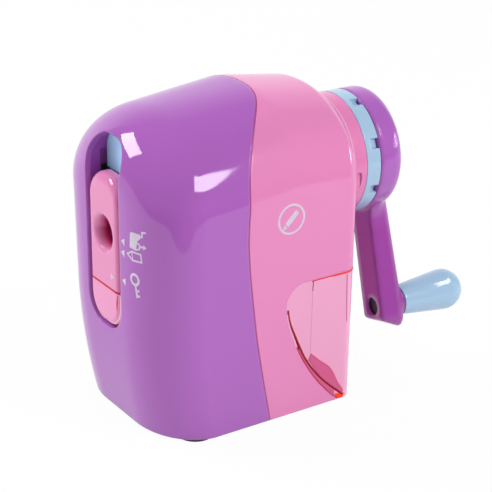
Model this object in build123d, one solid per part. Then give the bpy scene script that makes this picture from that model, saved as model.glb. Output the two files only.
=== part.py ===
from build123d import *
from math import asin, atan2, cos, degrees, hypot, radians, sin, sqrt
import os

# A hand-cranked pencil sharpener for the desk, in millimetres.
# X runs across it, Y from the pencil hole at the front to the crank at the rear, Z up from the table.
# The origin is on the table, at the middle of the overall width and length.

# Casing outline
body_depth = 77.4
rear_half_width = 30.8
front_half_width = 33.8
side_flare = 2.9
shaft_height = 77.0
ridge_height = 108.4
rear_roof_fall = 3.3
front_roof_fall = 5.3
ridge_from_rear = 26.0
front_corner_width = 23.2
front_corner_depth = 17.0
front_brow_depth = 20.0
front_brow_drop = 14.1
rear_round = 5.0
rear_brow_drop = 11.0
front_recede = 4.7
recede_height = 42.0
wall = 2.2
foot_height = 1.0
level_count = 4
front_step = 15
rear_step = 18
roof_ledge = 0.15
seam_from_rear = [34.3, 41.0, 44.0, 40.9, 33.8]
seam_rises = [0.0, 37.0, 74.0]
seam_ridge_drops = [18.4, 7.4]

# Clearances
fit_gap = 0.1
slide_gap = 0.3
running_gap = 0.06

# Base plate, feet and screws
base_thickness = 2.2
foot_radius = 6.0
foot_edge = 0.7
rear_foot_x = 20.0
rear_foot_from_rear = 19.0
foot_lean = 30.0
boss_radius = 3.2
boss_height = 12.0
boss_sink = 0.4
front_boss_from_front = 17.4
rear_boss_from_rear = 27.0
base_screw_radius = 1.5
base_screw_length = 10.0
base_screw_head_radius = 2.3
base_screw_head_height = 1.2

# Front slot, shutter and its channel
slot_width = 22.6
slot_corner = 9.3
slot_bottom = 33.3
slot_top = 98.0
slot_cut = 10.0
shutter_top = 85.2
shutter_joint = 47.5
shutter_travel = 11.5
shutter_recess = 0.05
shutter_thickness = 4.95
shutter_round = 3.4
flange_overhang = 2.0
flange_thickness = 1.7
flange_bottom = 50.0
flange_top = 76.0
hole_radius = 4.4
funnel_radius = 6.1
funnel_depth = 3.6
funnel_round = 1.6
channel_wall = 1.9
channel_depth = 5.8
channel_top = 92.0
spring_thickness = 0.4
spring_width = 5.0
spring_height = 13.0
spring_bow = 1.3

# Drawer and chute
drawer_top = 48.0
drawer_corner_from_rear = 21.5
drawer_scoop_from_rear = [28.8, 26.7, 20.6, 12.0, 5.9]
drawer_scoop_heights = [40.5, 33.3, 18.5, 6.5, 1.0]
drawer_scoop_exit = (1.0, -0.7)
bin_front_from_rear = 18.6
bin_front_foot = 16.5
bin_wall = 1.8
pull_width = 24.0
pull_reach = 1.6
pull_height = 3.0
pull_drop = 9.0
chute_rise = 8.0
chute_thickness = 1.5
chute_from_rear = 17.0

# Cutter unit: the notched ring, its tube and the cage that holds the ring gear
collar_skin = 1.3
collar_length = 10.7
unit_radius = 18.1
unit_wall = 2.3
ring_gap = 0.15
ring_lip = 0.1
ring_width = 5.35
notch_count = 8
notch_width = 3.4
notch_depth = 3.6
notch_cut = 1.8
lug_count = 2
lug_height = 1.3
lug_length = 2.6
lug_width = 7.0
lug_angle = 90.0
unlock_turn = 30.0
web_thickness = 3.4
bush_radius = 6.0
bar_count = 3
bar_width = 8.0
mark_width = 5.0
mark_length = 4.0
mark_depth = 0.6
mark_from_rear = 6.4

# Gears and cutter
ring_rim = 1.2
addendum_share = 0.75
dedendum_share = 1.25
ring_space_tip = 2.5
ring_space_root = 1.4
pinion_tooth_root = 1.5
pinion_tooth_tip = 0.6
ring_teeth = 34
pinion_teeth = 10
ring_gear_width = 4.0
pinion_width = 2.4
point_from_rear = 6.5
cutter_tilt = 10.5
cutter_radius = 5.5
cutter_overrun = 2.5
cutter_blades = 10
cutter_gash = 1.1
blade_root_share = 0.5
blade_edge_share = 0.1
cutter_steps = 6
cutter_step_turn = 8.0
axle_radius = 1.5

# Carriage, drum and feed rollers
bulkhead_from_front = 20.9
bulkhead_thickness = 3.4
drum_from_front = 9.2
drum_length = 17.85
drum_radius = 15.0
pencil_bore = 4.4
neck_radius = 7.2
flange_radius = 12.0
plate_radius = 13.4
plate_thickness = 3.4
bridge_half_width = 8.0
bridge_top = 5.2
bridge_bottom = 9.5
hub_radius = 9.0
hub_length = 6.2
shaft_seat = 3.0
washer_thickness = 0.4
drum_screw_radius = 1.1
drum_screw_head = 2.0
drum_screw_circle = 9.5
drum_screw_depth = 5.2
roller_count = 3
roller_radius = 4.2
roller_length = 7.6
roller_circle = 8.1
roller_skew = 6.0
roller_pin_radius = 1.0
roller_pin_length = 13.0
roller_room = 0.6

# Crank and knob
shaft_radius = 4.0
crank_gap = 0.25
crank_thickness = 10.0
crank_rim_round = 4.2
crank_boss_radius = 7.0
shaft_cover = 2.2
shaft_screw_radius = 1.5
shaft_screw_length = 9.0
shaft_screw_head = 3.4
shaft_screw_head_height = 1.6
arm_setback = 2.9
arm_half_width = 5.6
arm_flare = 7.0
arm_tip = 4.0
arm_front_end = 4.6
arm_root_rise = 1.5
arm_end_round = 1.4
arm_rear_round = 3.2
arm_boss_radius = 5.2
arm_boss_length = 3.35
knob_x = 13.8
knob_z = 22.9
knob_gap = 0.4
knob_length = 26.1
knob_neck_radius = 5.2
knob_ball_radius = 7.2
knob_screw_radius = 2.0
knob_screw_head = 3.2
knob_screw_head_height = 2.0
knob_screw_recess = 3.0
knob_screw_depth = 18.0

# Places worked out from the sizes above
crank_reach = crank_gap + crank_thickness + arm_boss_length
rear_reach = collar_length + ring_gap + ring_width + crank_reach + knob_gap + knob_length
y_front = -(body_depth + rear_reach) / 2
y_rear = y_front + body_depth
y_ridge = y_rear - ridge_from_rear
rear_roof_height = ridge_height - rear_roof_fall
front_roof_height = ridge_height - front_roof_fall
seam_heights = [foot_height + rise for rise in seam_rises]
seam_heights += [ridge_height - drop for drop in seam_ridge_drops]
y_collar = y_rear + collar_length
y_ring = y_collar + ring_gap
y_crank = y_ring + ring_width + crank_gap
y_crank_rear = y_crank + crank_thickness
y_arm = y_crank + arm_setback
y_arm_boss = y_crank_rear + arm_boss_length
y_knob = y_arm_boss + knob_gap
y_knob_end = y_knob + knob_length
base_top = foot_height + base_thickness
hole_height = shaft_height - shutter_travel
unit_bore = unit_radius - unit_wall
collar_radius = unit_radius + lug_height + slide_gap + collar_skin
ring_radius = collar_radius + ring_lip
gear_module = (unit_bore - ring_rim) / (ring_teeth / 2 + dedendum_share)
gear_offset = (ring_teeth - pinion_teeth) * gear_module / 2
ring_pitch = ring_teeth * gear_module / 2
pinion_pitch = pinion_teeth * gear_module / 2
tilt = radians(cutter_tilt)
y_point = y_rear - point_from_rear
pinion_run = (gear_offset - cutter_radius / cos(tilt)) / sin(tilt)
y_gear = y_point - pinion_run * cos(tilt)
pinion_tip = pinion_pitch + addendum_share * gear_module
y_plate = y_gear - pinion_width / 2 - pinion_tip * sin(tilt) - slide_gap
y_hub = y_point + cutter_overrun * cos(tilt) + cutter_radius * sin(tilt) + slide_gap
y_hub_rear = y_hub + hub_length
y_web = y_hub_rear + washer_thickness + fit_gap
y_drum = y_front + drum_from_front
y_drum_rear = y_drum + drum_length
y_bulkhead = y_front + bulkhead_from_front
far = 300.0


def block(x0, x1, y0, y1, z0, z1):
    """A box between two corners."""
    middle = Pos((x0 + x1) / 2, (y0 + y1) / 2, (z0 + z1) / 2)
    return middle * Box(x1 - x0, y1 - y0, z1 - z0)


def rod(radius, y0, y1, x=0.0, z=shaft_height):
    """A cylinder along Y, on the shaft axis unless another place is given."""
    return Pos(x, (y0 + y1) / 2, z) * Rot(90, 0, 0) * Cylinder(radius, y1 - y0)


def tube(outer, inner, y0, y1):
    """A hollow cylinder along Y on the shaft axis."""
    return rod(outer, y0, y1) - rod(inner, y0, y1)


def side_prism(face, half):
    """A face drawn in Y and Z, pulled out to both sides."""
    return extrude(Plane.YZ * face, amount=half, both=True)


def front_prism(face, y0, y1):
    """A face drawn in X and Z, pulled from one depth to another."""
    return extrude(Plane.XZ.offset(-y0) * face, amount=-(y1 - y0))


def flare(z):
    """How far each side leans out at a height."""
    return side_flare * (z - foot_height) / (shaft_height - foot_height)


def recede(z):
    """How far the front draws back below its middle."""
    return front_recede * max(0.0, 1 - (z - foot_height) / recede_height) ** 2


def quarter(run, reach):
    """The drop of a quarter round, as a share of its height, at a run from its end."""
    share = 1 - min(max(run / reach, 0.0), 1.0)
    return 1 - sqrt(1 - share * share)


def half_width(y, inset, z=shaft_height):
    """Half the casing's width at a depth and a height up to the shaft."""
    front = y_front + recede(z)
    y0 = front + front_corner_depth
    y1 = y_rear - rear_round
    share = min(max((y - y0) / (y1 - y0), 0.0), 1.0)
    half = front_half_width + (rear_half_width - front_half_width) * share + flare(z) - inset
    half -= (front_corner_width - inset) * quarter(y - front - inset, front_corner_depth - inset)
    return half - (rear_round - inset) * quarter(y_rear - inset - y, rear_round - inset)


def roof(y, inset):
    """Height of the roof along its middle."""
    if y < y_ridge:
        share = (y - y_front) / (y_ridge - y_front)
        height = front_roof_height + (ridge_height - front_roof_height) * share
    else:
        share = (y - y_ridge) / (y_rear - y_ridge)
        height = ridge_height + (rear_roof_height - ridge_height) * share
    height -= inset
    height -= (front_brow_drop - inset) * quarter(y - y_front - inset, front_brow_depth - inset)
    return height - (rear_brow_drop - inset) * quarter(y_rear - inset - y, rear_round - inset)


def plan_face(z, inset):
    """The casing's outline at a height up to the shaft."""
    rear_x = rear_half_width + flare(z) - inset
    front_x = front_half_width + flare(z) - inset
    front = y_front + recede(z) + inset
    rear = y_rear - inset
    corner_x = front_corner_width - inset
    corner_y = front_corner_depth - inset
    turn = rear_round - inset
    right = [
        EllipticalCenterArc((rear_x - turn, rear - turn), turn, turn, 0, arc_size=90),
        Line((rear_x, rear - turn), (front_x, front + corner_y)),
        EllipticalCenterArc((front_x - corner_x, front + corner_y), corner_x, corner_y, 270, arc_size=90),
    ]
    left = [mirror(edge, Plane.YZ) for edge in right]
    nose = Line((front_x - corner_x, front), (corner_x - front_x, front))
    tail = Line((rear_x - turn, rear), (turn - rear_x, rear))
    return Plane.XY.offset(z) * make_face([nose] + right + left + [tail])


def arch_face(y, inset):
    """The casing's arched section at a depth, with legs that run below the shaft."""
    half = half_width(y, inset)
    low = shaft_height - wall
    arch = EllipticalCenterArc((0, shaft_height), half, roof(y, inset) - shaft_height, 0, arc_size=180)
    edges = [
        Line((half, low), (half, shaft_height)),
        arch,
        Line((-half, shaft_height), (-half, low)),
        Line((-half, low), (half, low)),
    ]
    return Plane.XZ.offset(-y) * make_face(edges)


def body(inset, floor):
    """The whole casing as one solid, drawn in by an inset, from a floor up.

    The roof is drawn in by a hair more, so that it meets the walls on a clean ledge.
    """
    waist = foot_height + recede_height
    levels = [floor + (waist - floor) * step / level_count for step in range(level_count + 1)]
    lower = loft([plan_face(z, inset) for z in levels])
    lower += loft([plan_face(waist, inset), plan_face(shaft_height, inset)], ruled=True)
    inset += roof_ledge
    brow = front_brow_depth - inset
    turn = rear_round - inset
    fronts = [y_front + inset + brow * (1 - cos(radians(angle))) for angle in range(0, 91, front_step)]
    rears = [y_rear - inset - turn * (1 - cos(radians(angle))) for angle in range(90, -1, -rear_step)]
    upper = loft([arch_face(y, inset) for y in fronts])
    upper += loft([arch_face(fronts[-1], inset), arch_face(y_ridge, inset)], ruled=True)
    upper += loft([arch_face(y_ridge, inset), arch_face(rears[0], inset)], ruled=True)
    upper += loft([arch_face(y, inset) for y in rears])
    return lower + (upper & block(-far, far, -far, far, shaft_height, far))


def ring_of(count, start=0.0):
    """Turns about the shaft axis for a round pattern."""
    place = Pos(0, 0, shaft_height)
    back = Pos(0, 0, -shaft_height)
    return [place * Rot(0, start + 360 * step / count, 0) * back for step in range(count)]


def tooth_outline(teeth, low, high, low_width, high_width, start):
    """A closed outline with flat-sided teeth, one of them at the start angle."""
    points = []
    for step in range(teeth):
        middle = radians(start + 360 * step / teeth)
        low_turn = low_width / low / 2
        high_turn = high_width / high / 2
        for radius, angle in ((low, -low_turn), (high, -high_turn), (high, high_turn), (low, low_turn)):
            points.append((radius * cos(middle + angle), radius * sin(middle + angle)))
    return make_face(Polyline(points, close=True))


def base_screw_places():
    """Where the four base screws stand."""
    places = []
    for y in (y_front + front_boss_from_front, y_rear - rear_boss_from_rear):
        x = half_width(y, wall, foot_height) - boss_radius + boss_sink
        places += [(x, y), (-x, y)]
    return places


def foot_places():
    """The front feet sit just inside the rounded corners, the rear ones ahead of the drawer."""
    lean = radians(foot_lean)
    span = foot_radius + foot_edge
    turn = sqrt((front_corner_width * cos(lean)) ** 2 + (front_corner_depth * sin(lean)) ** 2)
    x = front_half_width - front_corner_width + front_corner_width ** 2 * cos(lean) / turn
    y = y_front + front_recede + front_corner_depth - front_corner_depth ** 2 * sin(lean) / turn
    x -= span * cos(lean)
    y += span * sin(lean)
    rear_y = y_rear - rear_foot_from_rear
    return [(x, y), (-x, y), (rear_foot_x, rear_y), (-rear_foot_x, rear_y)]


def drawer_face(grow=0.0):
    """Side outline of the drawer, a scoop that sweeps down to the rear foot, or a larger one round it."""
    scoop = [(y_rear - run - grow, z - grow) for run, z in zip(drawer_scoop_from_rear, drawer_scoop_heights)]
    top = drawer_top + grow
    top_end = (y_rear - drawer_corner_from_rear, top)
    rear_top = (y_rear + rear_round, top)
    rear_foot = (y_rear + rear_round, scoop[-1][1])
    width = top_end[0] - scoop[0][0]
    corner = EllipticalCenterArc((top_end[0], scoop[0][1]), width, top - scoop[0][1], 90, arc_size=90)
    sweep = Spline(scoop, tangents=[(0, -1), drawer_scoop_exit])
    edges = [Line(rear_top, top_end), corner, sweep]
    return make_face(edges + [Polyline(scoop[-1], rear_foot, rear_top)])


def seam_region():
    """Everything ahead of the curved seam between the two casings."""
    line = [(y_rear - run, z) for run, z in zip(seam_from_rear, seam_heights)]
    line += [(y_ridge, ridge_height)]
    seam = Spline(line)
    low = (line[0][0], -wall)
    high = (y_ridge + wall, ridge_height + wall)
    ahead = y_front - wall
    edges = [Line(low, line[0]), seam, Line(line[-1], high)]
    edges += [Polyline(high, (ahead, high[1]), (ahead, low[1]), low)]
    return side_prism(make_face(edges), far)


def slot_face(width, bottom, top, corner):
    """A tall round-cornered outline for the slot and what slides in it."""
    return Pos(0, (bottom + top) / 2) * RectangleRounded(width, top - bottom, corner)


def screw_holes(places, radius, z0, z1):
    """Upright round holes or shanks at a list of places."""
    return [Pos(x, y, (z0 + z1) / 2) * Cylinder(radius, z1 - z0) for x, y in places]


def save(name, shape):
    """Write one node, as one solid or as a group of separate solids."""
    solids = shape.solids()
    whole = solids[0] if len(solids) == 1 else Compound(children=solids)
    whole.label = name
    export_step(whole, os.path.join("parts", name + ".step"))


outer_body = body(0.0, foot_height)
inner_body = body(wall, foot_height - wall)
inside = body(wall + fit_gap, foot_height - wall)
shell = outer_body - inner_body
front_region = seam_region()
screw_places = base_screw_places()
boss_top = base_top + boss_height


def front_casing():
    """Purple front shell with the shutter slot and two screw bosses."""
    outline = slot_face(slot_width, slot_bottom, slot_top, slot_corner)
    slot = front_prism(outline, y_front - wall, y_front + slot_cut)
    casing = (shell & front_region) - slot
    casing += screw_holes(screw_places[:2], boss_radius, base_top, boss_top)
    return casing - screw_holes(screw_places[:2], base_screw_radius, base_top, base_top + base_screw_length)


def rear_casing():
    """Pink rear shell with the round collar, the drawer bay and two screw bosses."""
    bay = side_prism(drawer_face(slide_gap), far)
    casing = (shell - front_region) + rod(collar_radius, y_rear - wall / 2, y_collar)
    bore = unit_radius + running_gap
    groove = y_rear + collar_length / 2
    slack = lug_length / 2 + slide_gap
    casing -= rod(bore, y_rear - 2 * wall, y_collar)
    casing -= rod(unit_radius + lug_height + slide_gap, groove - slack, groove + slack)
    for turn in ring_of(lug_count, lug_angle - unlock_turn):
        reach = unit_radius + lug_height + slide_gap
        half = lug_width / 2 + slide_gap
        casing -= turn * block(-half, half, groove, y_collar, shaft_height, shaft_height + reach)
    mark = Pos(collar_radius, y_rear + mark_from_rear, shaft_height - mark_width)
    casing -= mark * Box(2 * mark_depth, mark_length, mark_width)
    casing -= bay
    casing += screw_holes(screw_places[2:], boss_radius, base_top, boss_top)
    return casing - screw_holes(screw_places[2:], base_screw_radius, base_top, base_top + base_screw_length)


def base_plate():
    """Floor that closes the two casings, ahead of the drawer."""
    bay = side_prism(drawer_face(slide_gap), far)
    plate = (inside & block(-far, far, -far, far, foot_height, base_top)) - bay
    plate -= screw_holes(screw_places, base_screw_radius, foot_height, base_top)
    head_top = foot_height + base_screw_head_height
    return plate - screw_holes(screw_places, base_screw_head_radius, foot_height, head_top)


def base_screws():
    """Four screws, driven up through the base plate into the bosses."""
    head_top = foot_height + base_screw_head_height
    heads = screw_holes(screw_places, base_screw_head_radius, foot_height, head_top)
    shanks = screw_holes(screw_places, base_screw_radius, head_top, base_top + base_screw_length)
    return Compound(children=[(head + shank).solid() for head, shank in zip(heads, shanks)])


def feet():
    """Four rubber pads under the base plate."""
    return Compound(children=[pad.solid() for pad in screw_holes(foot_places(), foot_radius, 0, foot_height)])


def shutter_channel():
    """Channel behind the slot: rails, a ledge behind the flange and a closed lower back."""
    half = slot_width / 2 + flange_overhang + channel_wall
    front = y_front + wall + slide_gap
    ledge = y_front + shutter_recess + shutter_thickness + slide_gap
    rear = front + channel_depth
    low = slot_bottom - channel_wall
    frame = inside & block(-half, half, front, rear, low, channel_top)
    run = slot_width / 2 + flange_overhang
    frame -= block(-run, run, front, ledge, slot_bottom - slide_gap, far)
    frame -= block(-slot_width / 2, slot_width / 2, ledge, rear, flange_bottom, far)
    pocket = spring_width / 2 + slide_gap
    return frame - block(-pocket, pocket, ledge, ledge + spring_bow + spring_thickness, low, flange_bottom)


def shutter_spring():
    """Bowed leaf spring that presses on the back of the shutter."""
    foot = y_front + shutter_recess + shutter_thickness + slide_gap + spring_bow
    low = slot_bottom
    step = spring_height / 4
    line = [(foot, low), (foot, low + step), (foot - spring_bow, low + 2 * step)]
    line += [(foot, low + 3 * step), (foot, low + spring_height)]
    back = [(y + spring_thickness, z) for y, z in reversed(line)]
    return side_prism(make_face(Polyline(line + back, close=True)), spring_width / 2)


def shutter_blank():
    """The shutter before it is parted into cap and tail, with a rounded front edge."""
    front = y_front + shutter_recess
    width = slot_width - 2 * slide_gap
    face = slot_face(width, slot_bottom + slide_gap, shutter_top, slot_corner - slide_gap)
    blank = front_prism(face, front, front + shutter_thickness)
    return fillet(blank.faces().sort_by(Axis.Y)[0].edges(), shutter_round)


def shutter_cap():
    """Opaque upper part of the shutter, with the pencil funnel and the flanges that hold it."""
    front = y_front + shutter_recess
    rear = front + shutter_thickness
    cap = shutter_blank() & block(-far, far, -far, far, shutter_joint, far)
    half = slot_width / 2 + flange_overhang - slide_gap
    cap += block(-half, half, rear - flange_thickness, rear, flange_bottom, flange_top)
    cap -= rod(hole_radius, front, rear, z=hole_height)
    funnel = Pos(0, front + funnel_depth / 2, hole_height) * Rot(90, 0, 0)
    cap -= funnel * Cone(hole_radius, funnel_radius, funnel_depth)
    rim = cap.edges().filter_by(GeomType.CIRCLE).filter_by(lambda edge: edge.radius == funnel_radius)
    return fillet(rim, funnel_round)


def shutter_tail():
    """Clear lower part of the shutter."""
    return shutter_blank() & block(-far, far, -far, far, -far, shutter_joint)


def bulkhead():
    """Upright plate across the front casing that the feed drum turns in."""
    plate = inside & block(-far, far, y_bulkhead, y_bulkhead + bulkhead_thickness, base_top + fit_gap, far)
    return plate - rod(drum_radius + running_gap, y_bulkhead, y_bulkhead + bulkhead_thickness)


def shavings_chute():
    """Sloping sheet that sends the shavings back into the drawer."""
    ahead = y_bulkhead + bulkhead_thickness + fit_gap
    behind = y_rear - chute_from_rear
    low = drawer_top + 2 * slide_gap
    corners = [(behind, low), (behind, low + chute_thickness)]
    corners += [(ahead, low + chute_rise + chute_thickness), (ahead, low + chute_rise)]
    return inside & side_prism(make_face(Polyline(corners, close=True)), far)


def drawer():
    """Clear drawer: outer walls flush with the casing, a bin inside and a pull at the rear."""
    outline = side_prism(drawer_face(), far)
    walls = (outer_body & outline) - inner_body
    front = y_rear - bin_front_from_rear
    foot = y_rear - drawer_scoop_from_rear[-1]
    sill = foot_height + bin_wall
    outside = [(front, drawer_top), (front, bin_front_foot), (foot, foot_height), (y_rear, foot_height)]
    within = [(y_rear, sill), (foot, sill), (front + bin_wall, bin_front_foot + bin_wall / 2)]
    within += [(front + bin_wall, drawer_top)]
    sheet = side_prism(make_face(Polyline(outside + within, close=True)), far)
    pull_top = drawer_top - pull_drop
    pull_half = pull_width / 2
    pull = block(-pull_half, pull_half, y_rear - wall, y_rear + pull_reach, pull_top - pull_height, pull_top)
    return walls + (sheet & outer_body) + pull


def cutter_unit():
    """Light-blue holder: the notched grip ring, its tube in the collar and the cage in front."""
    gear_front = y_gear - ring_gear_width / 2
    gear_rear = y_gear + ring_gear_width / 2
    tube_front = y_rear - wall
    unit = tube(unit_radius, unit_bore, tube_front, y_ring)
    unit += tube(ring_radius, unit_bore, y_ring, y_ring + ring_width)
    unit += tube(unit_radius, bush_radius, y_web, y_web + web_thickness)
    unit += tube(unit_radius, unit_bore, gear_front, gear_rear)
    low = shaft_height + unit_bore
    for turn in ring_of(bar_count, 180):
        bar = block(-bar_width / 2, bar_width / 2, gear_front, tube_front + wall, low - wall, low + wall)
        unit += turn * bar & tube(unit_radius, unit_bore, gear_front, tube_front + wall)
    rim = shaft_height + ring_radius
    ring_rear = y_ring + ring_width
    ramp = [(ring_rear - notch_depth, rim), (ring_rear, rim - notch_cut), (ring_rear, rim + notch_cut)]
    notch = side_prism(make_face(Polyline(ramp, close=True)), notch_width / 2)
    for turn in ring_of(notch_count, 180 / notch_count):
        unit -= turn * notch
    middle = y_rear + collar_length / 2
    for turn in ring_of(lug_count, lug_angle):
        lug = block(-lug_width / 2, lug_width / 2, middle - lug_length / 2, middle + lug_length / 2,
                    shaft_height + unit_radius - unit_wall / 2, shaft_height + unit_radius + lug_height)
        unit += turn * lug & rod(unit_radius + lug_height, middle - lug_length, middle + lug_length)
    return unit


def ring_gear():
    """Fixed internal gear that the pinion rolls round in."""
    rim = rod(unit_bore, y_gear - ring_gear_width / 2, y_gear + ring_gear_width / 2)
    tip = ring_pitch - addendum_share * gear_module
    root = ring_pitch + dedendum_share * gear_module
    tip_space = ring_space_tip * gear_module
    root_space = ring_space_root * gear_module
    gaps = tooth_outline(ring_teeth, tip, root, tip_space, root_space, 90)
    hole = Pos(0, shaft_height) * gaps
    return rim - front_prism(hole, y_gear - ring_gear_width / 2, y_gear + ring_gear_width / 2)


def shaft_bush():
    """Bearing sleeve for the crank shaft."""
    return tube(bush_radius, shaft_radius + running_gap, y_web, y_web + web_thickness)


def axle_plane(run):
    """A plane square to the cutter's inclined axle, at a run behind the pencil's point."""
    start = Vector(0, y_point, shaft_height + cutter_radius / cos(tilt))
    along = Vector(0, cos(tilt), -sin(tilt))
    return Plane(origin=start + along * run, x_dir=(1, 0, 0), z_dir=along)


def axle_rod(radius, run0, run1):
    """A cylinder along the cutter's axle between two runs."""
    return axle_plane((run0 + run1) / 2) * Cylinder(radius, run1 - run0)


axle_start = (y_plate - plate_thickness + wall - y_point) / cos(tilt)
axle_end = (y_hub + shaft_seat - y_point) / cos(tilt)


def helical_cutter():
    """Milling cutter with twisted blades, lying along the pencil's cone."""
    start = -pinion_run + pinion_width / 2 + slide_gap
    length = cutter_overrun - start
    root = cutter_radius - cutter_gash
    root_width = blade_root_share * cutter_radius
    edge_width = blade_edge_share * cutter_radius
    sections = []
    for step in range(cutter_steps + 1):
        turn = step * cutter_step_turn
        face = tooth_outline(cutter_blades, root, cutter_radius, root_width, edge_width, turn)
        sections.append(axle_plane(start + length * step / cutter_steps) * face)
    cutter = loft(sections, ruled=True)
    return cutter - axle_rod(axle_radius + running_gap, start, cutter_overrun)


def cutter_pinion():
    """Pinion at the front end of the cutter."""
    low = pinion_pitch - dedendum_share * gear_module
    low_width = pinion_tooth_root * gear_module
    tip_width = pinion_tooth_tip * gear_module
    face = tooth_outline(pinion_teeth, low, pinion_tip, low_width, tip_width, 270)
    blank = extrude(axle_plane(-pinion_run - pinion_width / 2) * face, amount=pinion_width)
    return blank - axle_rod(axle_radius + running_gap, -pinion_run - pinion_width, -pinion_run + pinion_width)


def cutter_axle():
    """Pin that the cutter and its pinion spin on."""
    return axle_rod(axle_radius, axle_start, axle_end)


def cutter_carriage():
    """Turning frame: flange, pencil neck, front plate, bridge and rear hub."""
    carriage = rod(flange_radius, y_drum_rear, y_drum_rear + plate_thickness)
    carriage += rod(neck_radius, y_drum_rear, y_plate)
    carriage += rod(plate_radius, y_plate - plate_thickness, y_plate)
    carriage += rod(hub_radius, y_hub, y_hub_rear)
    low = shaft_height - bridge_bottom
    carriage += block(-bridge_half_width, bridge_half_width, y_plate - plate_thickness, y_hub_rear,
                      low, shaft_height - bridge_top)
    carriage -= rod(pencil_bore, y_drum_rear, y_plate)
    carriage -= rod(shaft_radius, y_hub_rear - shaft_seat, y_hub_rear)
    carriage -= axle_rod(axle_radius, axle_start, axle_end)
    head = y_drum_rear + plate_thickness
    for turn in ring_of(roller_count, 180):
        carriage -= turn * rod(drum_screw_radius, y_drum_rear, head, z=shaft_height + drum_screw_circle)
    return carriage


def drum_screws():
    """Three screws that hold the drum on the carriage."""
    head = y_drum_rear + plate_thickness
    high = shaft_height + drum_screw_circle
    screw = rod(drum_screw_radius, y_drum_rear - drum_screw_depth, head, z=high)
    screw += rod(drum_screw_head, head, head + drum_screw_head / 2, z=high)
    return Compound(children=[(turn * screw).solid() for turn in ring_of(roller_count, 180)])


y_roller = y_drum + drum_length / 2
roller_place = Pos(0, y_roller, shaft_height + roller_circle) * Rot(90, roller_skew, 0)


def feed_drum():
    """Light-blue drum that carries the skewed feed rollers round the pencil."""
    drum = rod(drum_radius, y_drum, y_drum_rear) - rod(pencil_bore, y_drum, y_drum_rear)
    funnel = Pos(0, y_drum + funnel_depth / 2, shaft_height) * Rot(90, 0, 0)
    drum -= funnel * Cone(pencil_bore, funnel_radius, funnel_depth)
    half = roller_radius + roller_room
    reach = roller_length / 2 + roller_room
    pocket = block(-half, half, y_roller - reach, y_roller + reach,
                   shaft_height, shaft_height + roller_circle + half)
    pin = roller_place * Cylinder(roller_pin_radius, roller_pin_length)
    for turn in ring_of(roller_count):
        drum -= turn * pocket
        drum -= turn * pin
    high = shaft_height + drum_screw_circle
    for turn in ring_of(roller_count, 180):
        drum -= turn * rod(drum_screw_radius, y_drum_rear - drum_screw_depth, y_drum_rear, z=high)
    return drum


def roller_pins():
    """Pins of the three feed rollers."""
    pin = roller_place * Cylinder(roller_pin_radius, roller_pin_length)
    return Compound(children=[(turn * pin).solid() for turn in ring_of(roller_count)])


def feed_roller(turn):
    """One rubber feed roller on its skewed pin."""
    roller = Cylinder(roller_radius, roller_length) - Cylinder(roller_pin_radius + running_gap, roller_length)
    return turn * roller_place * roller


def crank_shaft():
    """Steel shaft from the carriage to the crank."""
    end = y_crank_rear - shaft_cover - shaft_screw_head_height
    shaft = rod(shaft_radius, y_hub_rear - shaft_seat, end)
    return shaft - rod(shaft_screw_radius, end - shaft_screw_length, end)


def shaft_screw():
    """Screw that draws the crank onto the shaft."""
    end = y_crank_rear - shaft_cover - shaft_screw_head_height
    screw = rod(shaft_screw_head, end, end + shaft_screw_head_height)
    return screw + rod(shaft_screw_radius, end - shaft_screw_length, end)


def thrust_washer():
    """Thin washer between the carriage and the bearing."""
    front = y_hub_rear + fit_gap / 2
    return tube(hub_radius, shaft_radius + running_gap, front, front + washer_thickness)


def crank_blank():
    """The crank with its arm upright: disc and arm in one outline, and a swell towards the knob."""
    reach = hypot(knob_x, knob_z - shaft_height)
    tip = reach + arm_tip
    end = tip + arm_half_width
    arm = Pos(0, tip / 2) * Rectangle(2 * arm_half_width, tip) + Pos(0, tip) * Circle(arm_half_width)
    outline = Circle(ring_radius) + arm
    corners = outline.vertices().filter_by_position(Axis.Y, arm_half_width, tip - arm_half_width)
    blank = front_prism(fillet(corners, arm_flare), y_arm, y_crank_rear)
    blank = fillet(blank.faces().sort_by(Axis.Y)[-1].edges(), crank_rim_round)
    side = [(y_arm, 0), (y_crank_rear + arm_root_rise, ring_radius), (y_arm_boss, end), (y_arm, end)]
    swell = front_prism(arm, y_arm, y_arm_boss) & side_prism(make_face(Polyline(side, close=True)), far)
    edges = swell.faces().sort_by(Axis.Y)[-1].edges().filter_by_position(Axis.Z, ring_radius, far)
    blank += fillet(edges, arm_rear_round)
    slope = [(y_crank, reach + arm_front_end), (y_arm, reach + arm_front_end), (y_arm_boss, end)]
    under = [(y_arm_boss, end + wall), (y_crank, end + wall)]
    blank -= side_prism(make_face(Polyline(slope + under, close=True)), far)
    end_face = blank.faces().filter_by(GeomType.PLANE).sort_by(Axis.Z)[-1]
    return fillet(end_face.edges(), arm_end_round)


def crank_arm():
    """Purple crank: a round disc with a boss inside the ring, and the arm that hangs from it."""
    down = Vector(knob_x, 0, knob_z - shaft_height)
    lean = Vector(0, 0, 1).get_signed_angle(down, Vector(0, 1, 0))
    crank = rod(ring_radius, y_crank, y_arm)
    crank += Pos(0, 0, shaft_height) * Rot(0, lean, 0) * crank_blank()
    crank += rod(crank_boss_radius, y_web + web_thickness + slide_gap, y_crank)
    crank += rod(arm_boss_radius, y_arm + knob_screw_recess, y_arm_boss, knob_x, knob_z)
    end = y_crank_rear - shaft_cover - shaft_screw_head_height
    crank -= rod(shaft_radius, y_web, end)
    crank -= rod(shaft_screw_head, end, y_crank_rear)
    crank -= rod(knob_screw_radius, y_arm, y_arm_boss, knob_x, knob_z)
    return crank - rod(knob_screw_head, y_arm, y_arm + knob_screw_recess, knob_x, knob_z)


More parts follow.
